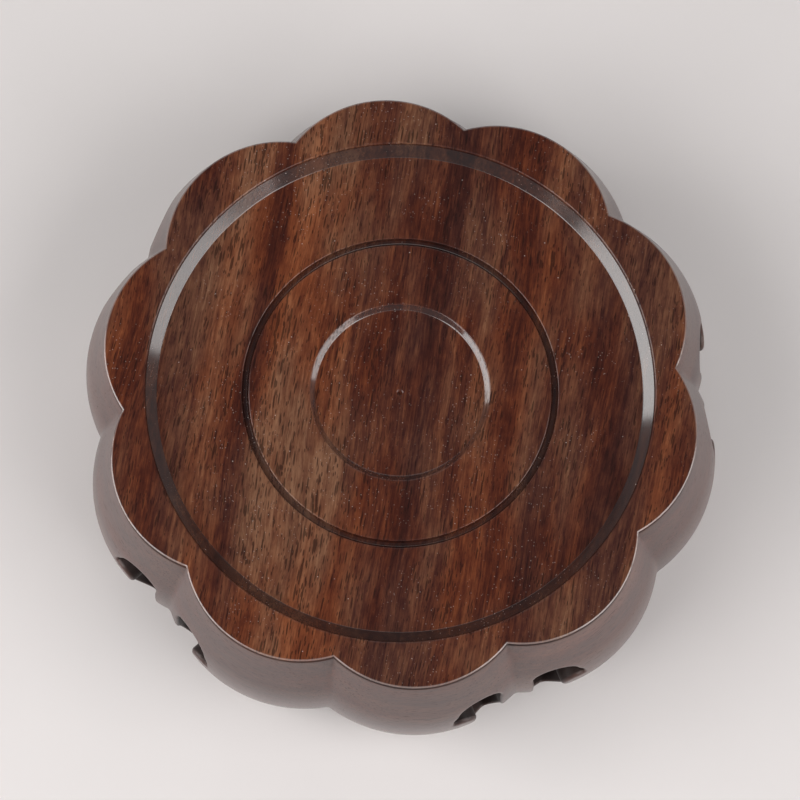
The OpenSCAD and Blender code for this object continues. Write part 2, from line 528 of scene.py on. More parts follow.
@dataclass(frozen=True)
class RosewoodFinish:
    """Dark figured hardwood with open pores, polished where the polish attribute says."""

    name: str
    source: GrainSource
    tones: Tuple[Tuple[float, Colour], ...]
    lean: float = 0.0
    bands: Tuple[GrowthBand, ...] = ()
    depth: float = 0.0
    figure: float = 1.0
    contrast: float = 1.0
    pore_share: float = 1.0
    pore_depth: float = 0.9
    dust: float = 0.0
    roughness: float = 0.4
    bare_roughness: float = 0.65
    # Painted shade: the grey factor that unpolished wood is multiplied by.
    bare_painted_shade: float = 0.7
    coat: float = 1.0
    coat_roughness: float = 0.12
    coat_ior: float = 1.5
    flat_gloss: float = 1.0
    ior: float = 1.5
    sheen: float = 0.0
    # Painted sheen: share of pale grey laid over polished wood.
    painted_sheen: float = 0.0
    bump: float = 0.25

    def material(self) -> bpy.types.Material:
        """Builds the finish as a material."""
        made = bpy.data.materials.new(self.name)
        made.use_nodes = True
        graph = Graph(made.node_tree)
        place = self._place(graph)
        wander = graph.noise(place, (42.0, 70.0, 42.0), 1.0) - 0.5
        ripple = graph.noise(place, (6.0, 18.0, 6.0), 1.0) - 0.5
        shift = graph.node("ShaderNodeCombineXYZ", None, {0: wander * 7.0 + ripple * 1.1})
        lie = graph.node("ShaderNodeVectorMath", {"operation": "ADD"}, {0: place, 1: shift})
        figure = self._figure(graph, lie)
        fibre = graph.noise(lie, (0.26, 5.0, 0.34), 2.0, 0.6) - 0.5
        patch = graph.noise(lie, (10.0, 34.0, 10.0), 2.0, 0.6)
        fine = self._streaks(graph, lie) + fibre * 0.45 + (patch - 0.5) * 0.6
        tone = (figure - 0.5) * self.figure + fine * self.contrast + (0.5 + self.depth)
        colour = graph.node("ShaderNodeValToRGB", {"stops": self.tones}, {0: tone})
        tint = graph.blend(patch.fade(0.34, 0.66), (1.09, 0.86, 0.74), (0.96, 1.2, 1.56))
        colour = graph.blend(1.0, colour, tint, "MULTIPLY")
        # Painted shade: where the turned attribute is above 0 (seat's slope, groove, pan wall, flange
        # side) the wood is multiplied darker for the shade that falls in these cuts, and its pores
        # are thinned there.
        turned = graph.node("ShaderNodeAttribute", {"attribute_name": TURNED}, None, "Fac")
        cut_painted_shade = turned.most(0.0)
        pores = self._pores(graph, lie, figure) * (1.0 - cut_painted_shade * 0.9)
        wood = graph.blend(pores * self.pore_depth, colour, (0.011, 0.0038, 0.0024))
        wood = graph.blend(cut_painted_shade, wood, (0.42, 0.4, 0.42), "MULTIPLY")
        # Painted highlight and wear: below 0 the turned attribute pales the rim's arris, standing in
        # partly for its bright highlight line.
        wood = graph.blend((turned * -1.0).most(0.0), wood, (0.5, 0.42, 0.39))
        polish = graph.node("ShaderNodeAttribute", {"attribute_name": POLISH}, None, "Fac")
        # Painted shade: where the polish attribute is 0, such as inside the openings and the hollow
        # and on the board's flange side and underside, the wood is multiplied down to grey for the
        # shade there.
        shade = polish * (1.0 - self.bare_painted_shade) + self.bare_painted_shade
        painted_shade_grey = graph.node("ShaderNodeCombineColor", None, {0: shade, 1: shade, 2: shade})
        wood = graph.blend(1.0, wood, painted_shade_grey, "MULTIPLY")
        # Painted sheen: a pale grey laid over the polished face stands in for the grey grazing
        # reflection on the walls.
        if self.painted_sheen > 0.0:
            wood = graph.blend(polish * self.painted_sheen, wood, (0.17, 0.15, 0.145))
        if self.dust > 0.0:
            wood = graph.blend(self._specks(graph, place) * self.dust, wood, (0.46, 0.39, 0.36))
        turned_gloss = (turned * turned * 16.0).least(1.0) * (1.0 - self.flat_gloss)
        gloss = polish * self.coat * (turned_gloss + self.flat_gloss)
        worn = polish * (self.roughness - self.bare_roughness) + self.bare_roughness
        bump = graph.node(
            "ShaderNodeBump", None,
            {"Strength": self.bump, "Distance": 0.0001, "Height": fibre * 0.3 - pores},
        )
        shader = graph.node(
            "ShaderNodeBsdfPrincipled", None,
            {
                "Base Color": wood, "Roughness": worn + pores * 0.2, "Normal": bump,
                "IOR": self.ior, "Coat Weight": gloss * (1.0 - pores * 0.8),
                "Coat Roughness": self.coat_roughness, "Coat IOR": self.coat_ior,
                "Sheen Weight": self.sheen, "Sheen Roughness": 0.4,
                "Sheen Tint": (1.0, 0.94, 0.92, 1.0),
            },
        )
        graph.node("ShaderNodeOutputMaterial", None, {"Surface": shader})
        return made

    def _place(self, graph: Graph) -> Wire:
        """Place in millimetres, with the grain along Y."""
        if self.source is GrainSource.STAVE:
            return graph.node("ShaderNodeAttribute", {"attribute_name": GRAIN}, None, "Vector")
        spot = graph.node("ShaderNodeTexCoord", None, None, "Object")
        feeds = {
            "Vector": spot, "Rotation": (0.0, 0.0, math.radians(self.lean)),
            "Scale": (1.0 / MM, 1.0 / MM, 1.0 / MM),
        }
        return graph.node("ShaderNodeMapping", {"vector_type": "POINT"}, feeds)

    def _figure(self, graph: Graph, lie: Wire) -> Wire:
        """Broad growth bands: loose ones from noise and the named streaks."""
        figure = (graph.noise(lie, (5.5, 110.0, 10.0), 2.0, 0.5) - 0.5) * 0.9 + 0.5
        if self.bands:
            across = graph.node("ShaderNodeSeparateXYZ", None, {0: lie}, 0)
            for band in self.bands:
                away = (across - band.across) / band.width
                bell = graph.node(
                    "ShaderNodeMath", {"operation": "EXPONENT"}, {0: away * away * -1.0}
                )
                figure = figure + bell * band.shade
        return figure

    @staticmethod
    def _streaks(graph: Graph, lie: Wire) -> Wire:
        """Fine streaks along the grain, some long and some short, about 0."""
        long = graph.noise(lie, (0.8, 30.0, 1.2), 2.0, 0.6) - 0.5
        short = graph.noise(lie, (0.42, 3.4, 0.5), 2.0, 0.55) - 0.5
        blotch = graph.noise(lie, (1.1, 2.6, 1.1), 3.0, 0.7) - 0.5
        return long * 0.45 + short * 0.5 + blotch * 0.5

    def _pores(self, graph: Graph, lie: Wire, figure: Wire) -> Wire:
        """Open pores: short dashes along the grain, crowded in paler wood, and finer ones."""
        crowd = graph.noise(lie, (4.0, 11.0, 4.0), 2.0, 0.6) * 0.62 + figure * 0.3 - 0.18
        long = graph.cells(lie, (0.5, 4.0, 0.5))
        short = graph.cells(lie, (0.4, 1.6, 0.4)) + 0.04
        dashes = (crowd * self.pore_share - long.least(short)).fade(-0.03, 0.07)
        fine = graph.cells(lie, (0.24, 3.6, 0.24)).fade(0.36, 0.14)
        return dashes.most(fine * 0.5)

    @staticmethod
    def _specks(graph: Graph, place: Wire) -> Wire:
        """Specks of pale dust, a few larger ones among drifts of fine ones."""
        large = graph.cells(place, (2.6, 2.6, 2.6)).fade(0.042, 0.022)
        drift = graph.noise(place, (14.0, 14.0, 14.0), 2.0).fade(0.42, 0.64)
        small = graph.cells(place, (0.6, 0.6, 0.6)).fade(0.17, 0.09)
        return large.most(small * drift * 0.6)


@dataclass(frozen=True)
class PlainFinish:
    """A matt surface of one colour with a faint mottle, for the floor."""

    name: str
    colour: Colour
    roughness: float = 0.6

    def material(self) -> bpy.types.Material:
        """Builds the finish as a material."""
        made = bpy.data.materials.new(self.name)
        made.use_nodes = True
        graph = Graph(made.node_tree)
        spot = graph.node("ShaderNodeTexCoord", None, None, "Object")
        mottle = graph.noise(spot, (0.03, 0.03, 0.03), 2.0)
        shade = graph.blend(
            mottle, tuple(c * 0.97 for c in self.colour), tuple(c * 1.03 for c in self.colour)
        )
        shader = graph.node(
            "ShaderNodeBsdfPrincipled", None,
            {"Base Color": shade, "Roughness": self.roughness, "Specular IOR Level": 0.2},
        )
        graph.node("ShaderNodeOutputMaterial", None, {"Surface": shader})
        return made


ROSEWOOD_TONES = (
    (0.08, (0.012, 0.0034, 0.0026)),
    (0.32, (0.040, 0.0102, 0.0062)),
    (0.50, (0.080, 0.0226, 0.0108)),
    (0.70, (0.146, 0.0495, 0.0205)),
    (0.95, (0.245, 0.1, 0.044)),
)

BARE_TONES = (
    (0.1, (0.16, 0.075, 0.036)),
    (0.5, (0.36, 0.2, 0.105)),
    (0.9, (0.52, 0.33, 0.18)),
)

BOARD_FINISH = RosewoodFinish(
    name="polished_rosewood_board", source=GrainSource.PLANK, tones=ROSEWOOD_TONES, lean=14.0,
    bands=(
        GrowthBand(3.4, 3.0, -0.2),
        GrowthBand(-24.5, 1.9, -0.03),
        GrowthBand(35.5, 3.0, -0.22),
        GrowthBand(-14.0, 4.5, 0.19),
        GrowthBand(-29.0, 4.0, 0.13),
        GrowthBand(-36.0, 2.5, -0.07),
        GrowthBand(-21.0, 3.0, 0.07),
        GrowthBand(25.0, 3.0, -0.08),
    ),
    depth=0.03, contrast=0.9, pore_share=0.88, pore_depth=0.68, dust=0.75, ior=1.18, roughness=0.45, coat_ior=1.9, flat_gloss=0.4,
)

# The wall's unpolished wood is darkened to 0.15 as painted shade, and its polished face carries a
# painted sheen.
WALL_FINISH = RosewoodFinish(
    name="polished_rosewood_wall", source=GrainSource.STAVE, tones=ROSEWOOD_TONES, depth=-0.1,
    figure=0.5, contrast=0.42, pore_share=0.6, pore_depth=0.5, roughness=0.4, coat=0.45,
    coat_roughness=0.18, ior=1.4, sheen=0.12, painted_sheen=0.1, bump=0.04, bare_painted_shade=0.15,
)

RING_FINISH = RosewoodFinish(
    name="bare_rosewood_ring", source=GrainSource.PLANK, tones=ROSEWOOD_TONES, lean=-31.0,
    bump=0.4, bare_painted_shade=1.0,
)

JOINT_FINISH = RosewoodFinish(
    name="bare_joint_wood", source=GrainSource.PLANK, tones=BARE_TONES, pore_depth=0.5,
    bump=0.4, bare_painted_shade=1.0,
)

FLOOR_FINISH = PlainFinish("pale_floor", (0.74, 0.71, 0.702))


# the stand's pieces


@dataclass
class SeatBoard:
    """The top board: scalloped flange, turned seat and round plug."""

    form: StandForm
    steps: int = 360
    seat_depth: float = 2.0
    slope_w: float = 1.75
    slope_h: float = 1.65
    groove_r: float = 24.4
    groove_half: float = 0.52
    groove_depth: float = 0.6
    groove_lip: float = 0.2
    pan_r: float = 13.4
    pan_depth: float = 0.8
    pan_lip: float = 0.5
    mark_r: float = 0.5
    mark_depth: float = 0.5
    arris_r: float = 0.33
    slope_foot: float = 0.28
    rim_arris: float = 0.3
    finish: RosewoodFinish = BOARD_FINISH

    def turned_profile(self) -> List[Point]:
        """Radius and height of each ring, from the centre mark to the flat rim."""
        top, seat = self.form.stand_h, self.form.stand_h - self.seat_depth
        pan = seat - self.pan_depth
        rings: List[Point] = [(0.05, pan - self.mark_depth + 0.03)]
        rings += [(self.mark_r - 0.06, pan - 0.07), (self.mark_r + 0.02, pan - 0.015)]
        rings += [(self.mark_r + 0.1, pan), (4.0, pan), (9.0, pan)]
        tilt, soft = self.tilt, self.pan_lip
        reach = soft * math.tan(math.radians(tilt / 2.0))
        rings += arc((self.pan_r - reach, pan + soft), soft, -90.0, tilt - 90.0, 5)
        top_x = self.pan_r + self.pan_depth / math.tan(math.radians(tilt))
        rings += arc((top_x + reach, seat - soft), soft, 90.0 + tilt, 90.0, 5)
        rings.append((19.0, seat))
        rings += self._groove(seat)
        rings.append((31.0, seat))
        rings += self._slope(seat, top)
        return held(rings)

    @property
    def tilt(self) -> float:
        """Tilt of the seat's and the pan's sloping walls, in degrees."""
        return math.degrees(math.atan2(self.slope_h, self.slope_w))

    def _groove(self, seat: float) -> List[Point]:
        """Rings across the groove, from its inner lip to its outer one."""
        soft, half, middle = self.groove_lip, self.groove_half, self.groove_r
        rings = arc((middle - half - soft, seat - soft), soft, 90.0, 20.0, 5)
        for share, depth in ((-0.8, 0.62), (-0.5, 0.9), (0.0, 1.0), (0.5, 0.9), (0.8, 0.62)):
            rings.append((middle + half * share, seat - self.groove_depth * depth))
        return rings + arc((middle + half + soft, seat - soft), soft, 160.0, 90.0, 5)

    def _slope(self, seat: float, top: float) -> List[Point]:
        """Rings up the seat's sloping wall: eased foot, straight slope, lip and arris.

        Args:
            seat: Height of the seat floor.
            top: Height of the rim.

        Returns:
            Radius and height of each ring.
        """
        wall = self.form.seat_r
        tilt = self.tilt
        foot_x = wall - self.slope_w
        reach = self.slope_foot * math.tan(math.radians(tilt / 2.0))
        rings = arc((foot_x - reach, seat + self.slope_foot), self.slope_foot, -90.0, tilt - 90.0, 5)
        soft = self.arris_r
        turn = soft * math.tan(math.radians((90.0 - tilt) / 2.0))
        lip_z = seat + self.slope_h
        way = (math.cos(math.radians(tilt)), math.sin(math.radians(tilt)))
        rings.append((wall - turn * way[0], lip_z - turn * way[1]))
        rings.append((wall - turn * 0.2, lip_z + turn * 0.3))
        rings += arc((wall + soft, top - soft), soft, 180.0, 90.0, 5)
        return rings

    def build(self) -> bpy.types.Object:
        """Turns the seat, scallops the flange and closes the plug under it."""
        form = self.form
        rings = self.turned_profile()
        piece = Bench.circle("seat_board", rings[0][0], rings[0][1], self.steps, "TRIFAN")
        here = rings[0]
        for there in rings[1:]:
            Bench.step_ring(here, there)
            here = there
        soft = self.rim_arris
        hold = 0.05
        Bench.step_ring(here, (here[0] + hold, here[1]))
        here = (here[0] + hold, here[1])
        edge: List[Point] = [(soft + hold, form.stand_h), (soft, form.stand_h)]
        edge += [
            (soft - soft * math.sin(t), form.stand_h - soft + soft * math.cos(t))
            for t in (math.radians(a) for a in (22.5, 45.0, 67.5, 90.0))
        ]
        edge += [(0.0, form.stand_h - soft - hold), (0.0, form.stave_top + 0.12 + hold)]
        edge += [(0.0, form.stave_top + 0.12), (0.12, form.stave_top)]
        inset = None
        for inset_next, z in edge:
            self._scallop(piece, here, inset, inset_next, z)
            inset, here = inset_next, (here[0], z)
        self._unscallop(piece, inset, form.plug_r)
        here = (form.plug_r, form.stave_top)
        chamfer = 0.2
        for there in (
            (form.plug_r, form.ledge_z + chamfer), (form.plug_r - chamfer, form.ledge_z),
            (form.hollow_r - 2.0, form.ledge_z), (12.0, form.ledge_z), (0.05, form.ledge_z),
        ):
            Bench.step_ring(here, there)
            here = there
        bpy.ops.mesh.edge_face_add()
        Bench.close(piece)
        Bench.soften(piece)
        place = places(piece)
        turned = np.hypot(place[:, 0], place[:, 1]) < form.seat_r
        edge = form.stand_h - self.rim_arris * 0.7
        # Polish 0 leaves the flange side and underside to the finish's painted shade.
        shown = place[:, 2] > np.where(turned, form.ledge_z + 1.0, edge)
        lay_values(piece, POLISH, shown.astype(float))
        lay_values(piece, TURNED, self._painted_light_marks(place))
        return piece

    def _painted_light_marks(self, place: np.ndarray) -> np.ndarray:
        """Painted light marks: above 0 is painted shade in the seat's slope, the groove, the pan wall
        and on the flange side; below 0 pales the rim's arris as wear and a painted highlight.
        """
        form = self.form
        out, z = np.hypot(place[:, 0], place[:, 1]), place[:, 2]
        seat = form.stand_h - self.seat_depth
        turned = np.zeros(len(out))
        # Above 0: painted shade in the cuts and on the flange side. Below 0: the rim's arris, paler
        # as wear and a painted highlight.
        turned[(out > form.seat_r - self.slope_w) & (out < form.seat_r) & (z > seat + 0.02)] = 1.0
        turned[(np.abs(out - self.groove_r) < self.groove_half + 0.03) & (z < seat - 0.1)] = 1.0
        turned[(out > self.pan_r) & (out < self.pan_r + self.pan_depth) & (z < seat - 0.1)] = 0.5
        rim = (out > form.seat_r + 1.0) & (z > form.stave_top + 0.01)
        turned[rim & (z < form.stand_h - 0.01)] = -0.25
        turned[rim & (z < form.stand_h - self.rim_arris * 0.7)] = 1.0
        return turned

    def _classes(self, piece: bpy.types.Object) -> Dict[int, List[int]]:
        """The selected ring's vertices, grouped by their angle from a lobe's middle."""
        mesh = bmesh.from_edit_mesh(piece.data)
        mesh.verts.ensure_lookup_table()
        turn = 360.0 / self.form.lobes
        groups: Dict[int, List[int]] = {}
        for vertex in mesh.verts:
            if vertex.select:
                angle = math.degrees(math.atan2(vertex.co.y, vertex.co.x)) % turn
                groups.setdefault(round(abs(angle - turn / 2.0) * 100.0), []).append(vertex.index)
        return groups

    def _resize_groups(
        self, piece: bpy.types.Object, factor: Callable[[float], float]
    ) -> None:
        """Resizes the selected ring group by group, each group by its own factor.

        Args:
            piece: The open piece, with the ring selected.
            factor: Gives the factor from the angle to a lobe's middle, in radians.
        """
        groups = self._classes(piece)
        for key, members in groups.items():
            self._choose(piece, members)
            grow = factor(math.radians(key / 100.0))
            bpy.ops.transform.resize(value=(grow, grow, 1.0), center_override=(0.0, 0.0, 0.0))
        self._choose(piece, [i for members in groups.values() for i in members])

    @staticmethod
    def _choose(piece: bpy.types.Object, members: List[int]) -> None:
        """Selects just these vertices of the open piece."""
        bpy.ops.mesh.select_all(action="DESELECT")
        mesh = bmesh.from_edit_mesh(piece.data)
        mesh.verts.ensure_lookup_table()
        for index in members:
            mesh.verts[index].select_set(True)
        mesh.select_flush_mode()
        bmesh.update_edit_mesh(piece.data)

    def _scallop(
        self, piece: bpy.types.Object, here: Point, inset: Optional[float],
        inset_next: float, z: float,
    ) -> None:
        """Extrudes the selected ring to the scalloped outline.

        Args:
            piece: The open piece.
            here: Radius, if the ring is still round, and height of the ring now.
            inset: Inset of the ring now, or None where it is still round.
            inset_next: Inset that the new ring gets.
            z: Height that the new ring gets.
        """
        bpy.ops.mesh.extrude_region()
        if inset != inset_next:
            def factor(angle: float) -> float:
                """Growth of one group of vertices."""
                now = here[0] if inset is None else self.form.rim_radius(angle, inset)
                return self.form.rim_radius(angle, inset_next) / now

            self._resize_groups(piece, factor)
        if abs(z - here[1]) > 1e-9:
            bpy.ops.transform.translate(value=(0.0, 0.0, (z - here[1]) * MM))

    def _unscallop(self, piece: bpy.types.Object, inset: float, radius: float) -> None:
        """Extrudes the selected scalloped ring back to a round one at the same height."""
        bpy.ops.mesh.extrude_region()
        self._resize_groups(piece, lambda angle: radius / self.form.rim_radius(angle, inset))

    def dress(self, piece: bpy.types.Object) -> None:
        """Gives the board its finish and its place in the part."""
        piece.data.materials.append(self.finish.material())
        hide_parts("top_board")
        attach(piece, BODY)


@dataclass(frozen=True)
class HookedOpening:
    """Outline of an opening: u runs out from the post's middle and z up from the floor."""

    post_half: float = 2.8
    crown_z: float = 19.9
    head_r: float = 3.7
    shoulder_r: float = 4.4
    shoulder_drop: float = 2.3
    shoulder_reach: float = 11.15
    tail_r: float = 4.5
    tail_sill: float = 3.5
    heel_r: float = 5.0
    heel_reach: float = 8.2
    heel_h: float = 8.6
    nub_r: float = 2.6
    throat_w: float = 4.5
    nub_top: float = 13.5
    spacing: float = 0.3

    def outline(self) -> np.ndarray:
        """The closed outline, counter-clockwise, with its corners eased."""
        head = (self.post_half + self.head_r, self.crown_z - self.head_r)
        shoulder = (self.shoulder_reach - self.shoulder_r, head[1] - self.shoulder_drop)
        tail = (self.post_half + self.tail_r, self.tail_sill + self.tail_r)
        heel = (self.heel_reach - self.heel_r, self.heel_h)
        nub = (self.post_half + self.throat_w + self.nub_r, self.nub_top - self.nub_r)
        tip = self._meet(tail, self.tail_r, heel, self.heel_r, (0.0, -1.0))
        root = self._meet(heel, self.heel_r, nub, self.nub_r, (0.0, -1.0))
        crevice = self._meet(nub, self.nub_r, shoulder, self.shoulder_r, (1.0, 0.0))
        brow = self._meet(shoulder, self.shoulder_r, head, self.head_r, (1.0, 0.0))
        path = []
        for centre, radius, start, end in (
            (tail, self.tail_r, -192.0, self._angle(tail, tip)),
            (heel, self.heel_r, self._angle(heel, tip), self._angle(heel, root)),
            (nub, self.nub_r, self._angle(nub, root) + 360.0, self._angle(nub, crevice)),
            (shoulder, self.shoulder_r, self._angle(shoulder, crevice),
             self._angle(shoulder, brow)),
            (head, self.head_r, self._angle(head, brow), 193.0),
        ):
            path += arc(centre, radius, start, end, 60)
        return self._even(np.array(path))

    @staticmethod
    def _angle(centre: Point, point: Point) -> float:
        """Angle of a point seen from a circle's middle, in degrees."""
        return math.degrees(math.atan2(point[1] - centre[1], point[0] - centre[0]))

    @staticmethod
    def _meet(
        first: Point, first_r: float, second: Point, second_r: float, toward: Point
    ) -> Point:
        """Crossing of two circles.

        Args:
            first: Middle of the first circle.
            first_r: Its radius.
            second: Middle of the second circle.
            second_r: Its radius.
            toward: Direction that tells which of the two crossings is meant.

        Returns:
            The crossing that lies further in that direction.
        """
        gap = math.dist(first, second)
        along = (gap * gap + first_r**2 - second_r**2) / (2.0 * gap)
        aside = math.sqrt(first_r**2 - along**2)
        way = ((second[0] - first[0]) / gap, (second[1] - first[1]) / gap)
        sides = [
            (first[0] + along * way[0] - k * way[1], first[1] + along * way[1] + k * way[0])
            for k in (-aside, aside)
        ]
        return max(sides, key=lambda point: point[0] * toward[0] + point[1] * toward[1])

    def _even(self, path: np.ndarray) -> np.ndarray:
        """Spaces a closed path evenly and eases its corners."""
        for spacing, passes in ((self.spacing / 2.0, 8), (self.spacing, 0)):
            closed = np.vstack([path, path[:1]])
            steps = np.hypot(*np.diff(closed, axis=0).T)
            length = np.concatenate([[0.0], np.cumsum(steps)])
            count = int(round(length[-1] / spacing))
            at = np.arange(count) * length[-1] / count
            path = np.stack([np.interp(at, length, closed[:, k]) for k in (0, 1)], axis=1)
            for _ in range(passes):
                path = (np.roll(path, 1, 0) + 2.0 * path + np.roll(path, -1, 0)) / 4.0
        return path


@dataclass
class WallStave:
    """One lobe of the wall, with its mitred ends and its hooked opening.

    The outer face is laid out flat: a runs around the lobe and l along its profile. Rings of
    points follow the outline of the opening there, so that its lip is rounded all the way.
    """

    form: StandForm
    opening: HookedOpening = field(default_factory=HookedOpening)
    pitch: float = 0.62
    lip_r: float = 0.7
    seam_r: float = 1.5
    end_r: float = 0.1
    unroll_r: float = 22.0
    polish_edge: float = 0.8
    back_x: float = 24.0
    tongue_r: float = 38.03
    tongue_w: float = 3.0
    tongue_t: float = 1.6
    peg_r: float = 37.73
    peg_d: float = 3.0
    peg_down: float = 4.4
    finish: RosewoodFinish = WALL_FINISH

    def __post_init__(self) -> None:
        """Measures the profile once: height against distance along it."""
        self._z = np.linspace(0.0, self.form.stave_top, 2000)
        self._radius = np.array([self.form.lobe_radius(z) for z in self._z])
        steps = np.hypot(np.diff(self._z), np.diff(self._radius))
        self._l = np.concatenate([[0.0], np.cumsum(steps)])

    def _border_steps(self, length: float, radius: float) -> np.ndarray:
        """Places along a length, close together where an edge is rounded."""
        near = radius * np.array([0.0, 0.08, 0.25, 0.5, 0.8, 1.15])
        inner = length - 2.0 * near[-1]
        count = max(int(round(inner / self.pitch)), 2)
        middle = near[-1] + inner * np.arange(1, count) / count
        return np.concatenate([near, middle, length - near[::-1]])

    def _grid(self) -> Tuple[np.ndarray, int, int]:
        """Grid of flat points over the whole face.

        Returns:
            The points as rows of a and l, and the numbers of columns and rows.
        """
        rows = self._border_steps(float(self._l[-1]), self.end_r)
        widest = 2.0 * self.unroll_r * self.form.seam_angle(self.form.belly_z)
        shares = self._border_steps(widest, self.seam_r * 0.5) / widest * 2.0 - 1.0
        points = []
        for run in rows:
            seam = self.unroll_r * self.form.seam_angle(float(np.interp(run, self._l, self._z)))
            points += [(share * seam, run) for share in shares]
        return np.array(points), len(shares), len(rows)

    def _lip_rings(self) -> Tuple[List[np.ndarray], np.ndarray]:
        """Rings of flat points around the opening, from its edge outwards.

        Returns:
            The rings, and how far each lies below the face.
        """
        edge = self.opening.outline()
        radius = np.interp(edge[:, 1], self._z, self._radius)
        across = self.form.axis_r * math.sin(self.form.half_turn)
        turn = np.arcsin((edge[:, 0] - across) / radius) - self.form.half_turn
        flat = np.stack([turn * self.unroll_r, np.interp(edge[:, 1], self._z, self._l)], axis=1)
        ahead = np.roll(flat, -1, 0) - np.roll(flat, 1, 0)
        ahead /= np.hypot(ahead[:, 0], ahead[:, 1])[:, None]
        outward = np.stack([ahead[:, 1], -ahead[:, 0]], axis=1)
        offsets = self.lip_r * np.array([0.0, 0.06, 0.2, 0.42, 0.7, 1.0, 1.7])
        drops = np.array([fillet_drop(offset, self.lip_r) for offset in offsets])
        return [flat + outward * offset for offset in offsets], drops

    @staticmethod
    def _inside(points: np.ndarray, loop: np.ndarray) -> np.ndarray:
        """Which points lie inside a closed loop."""
        inside = np.zeros(len(points), bool)
        for (x0, y0), (x1, y1) in zip(loop, np.roll(loop, -1, 0)):
            spans = (y0 > points[:, 1]) != (y1 > points[:, 1])
            if spans.any():
                cross = x0 + (points[:, 1] - y0) / (y1 - y0 + 1e-30) * (x1 - x0)
                inside ^= spans & (points[:, 0] < cross)
        return inside

    @staticmethod
    def _triangles(points: np.ndarray, loops: Sequence[Sequence[int]]) -> np.ndarray:
        """Triangles over flat points that keep the given closed loops as edges."""
        edges = [(loop[i - 1], loop[i]) for loop in loops for i in range(len(loop))]
        result = delaunay_2d_cdt([Vector(p) for p in points], edges, [], 0, 1e-7, True)
        source = [ids[0] for ids in result[3]]
        return np.array([[source[i] for i in face] for face in result[2]])

    def _lift(self, flat: np.ndarray, lip: np.ndarray) -> np.ndarray:
        """Carries flat points onto the lobe, with the post's plane along X.

        Args:
            flat: Rows of a and l.
            lip: Depth of each point below the face at the opening's lip.

        Returns:
            Rows of x, y and z in millimetres.
        """
        form = self.form
        z = np.interp(flat[:, 1], self._l, self._z)
        radius = np.interp(flat[:, 1], self._l, self._radius)
        seam = np.array([form.seam_angle(height) for height in z])
        from_seam = (seam - np.abs(flat[:, 0]) / self.unroll_r) * radius
        from_end = np.minimum(flat[:, 1], self._l[-1] - flat[:, 1])
        bend = seam - form.half_turn
        soft = self.seam_r * np.clip((self._l[-1] - flat[:, 1]) / 2.5, 0.04, 1.0)
        aside = np.minimum(np.maximum(from_seam, 0.0) * np.cos(bend), soft * np.sin(bend))
        fill = soft / np.cos(bend) - np.sqrt(soft**2 - aside**2) - aside * np.tan(bend)
        end_drop = np.array([fillet_drop(max(d, 0.0), self.end_r) for d in from_end])
        turn = flat[:, 0] / self.unroll_r
        x = form.axis_r + (radius - end_drop) * np.cos(turn)
        y = (radius - end_drop) * np.sin(turn)
        grow = 1.0 + fill / np.hypot(x, y)
        x, y = x * grow, y * grow
        cos, sin = math.cos(form.half_turn), math.sin(form.half_turn)
        return np.stack([x * cos - y * sin - lip, x * sin + y * cos, z], axis=1)

    def _blank(self) -> bpy.types.Object:
        """A solid wedge with the finished outer face and the opening through it."""
        grid, columns, rows = self._grid()
        rings, drops = self._lip_rings()
        edge = rings[0]
        clear = self.lip_r * 1.7 + self.pitch * 0.55
        apart = np.min(np.hypot(*(grid[:, None, :] - edge[None, :, :]).transpose(2, 0, 1)), axis=1)
        keep = (apart > clear) & ~self._inside(grid, edge)
        number = np.cumsum(keep) - 1
        around = [i for i in range(columns)]
        around += [j * columns + columns - 1 for j in range(1, rows)]
        around += [(rows - 1) * columns + i for i in range(columns - 2, -1, -1)]
        around += [j * columns for j in range(rows - 2, 0, -1)]
        border = [int(number[i]) for i in around]
        flat = [grid[keep]] + rings
        starts = np.cumsum([len(part) for part in flat])
        loops = [list(range(a, a + len(edge))) for a in starts[:-1]]
        points = np.vstack(flat)
        lip = np.concatenate([np.zeros(int(keep.sum()))] + [np.full(len(edge), d) for d in drops])
        faces = self._triangles(points, [border] + loops)
        middles = points[faces].mean(axis=1)
        faces = faces[~self._inside(middles, edge) & self._inside(middles, points[border])]
        solid = self._lift(points, lip)
        total = len(solid)
        back_border = solid[border].copy()
        back_border[:, :2] *= (self.back_x / back_border[:, 0])[:, None]
        back_hole = solid[loops[0]].copy()
        back_hole[:, 0] = self.back_x
        solid = np.vstack([solid, back_border, back_hole])
        made = [list(map(int, face)) for face in faces]
        outer = list(range(total, total + len(border)))
        inner = list(range(total + len(border), len(solid)))
        for front, back in ((border, outer), (loops[0], inner)):
            for i in range(len(front)):
                made.append([front[i - 1], front[i], back[i], back[i - 1]])
        cap = solid[total:, 1:]
        lid = self._triangles(
            cap, [list(range(len(border))), list(range(len(border), len(cap)))]
        )
        centre = cap[lid].mean(axis=1)
        lid = lid[self._inside(centre, cap[: len(border)]) & ~self._inside(centre, cap[len(border):])]
        made += [[int(i) + total for i in face] for face in lid]
        mesh = bpy.data.meshes.new("stave_blank")
        mesh.from_pydata([tuple(p * MM) for p in solid], [], made)
        piece = bpy.data.objects.new("stave_blank", mesh)
        bpy.context.scene.collection.objects.link(piece)
        Bench.open(piece)
        Bench.close(piece)
        return piece

    def _core(self) -> bpy.types.Object:
        """The turned shape that leaves the hollow, the ring's rebate and the plug's ledge."""
        form = self.form
        here = (form.rebate_r, -1.0)
        piece = Bench.circle("core", here[0], here[1], 360, "NGON")
        for there in (
            (form.rebate_r, form.rebate_z), (form.hollow_r, form.rebate_z),
            (form.hollow_r, form.ledge_z), (form.plug_r + form.fit, form.ledge_z),
            (form.plug_r + form.fit, form.stand_h),
        ):
            Bench.step_ring(here, there)
            here = there
        bpy.ops.mesh.edge_face_add()
        Bench.close(piece)
        return piece

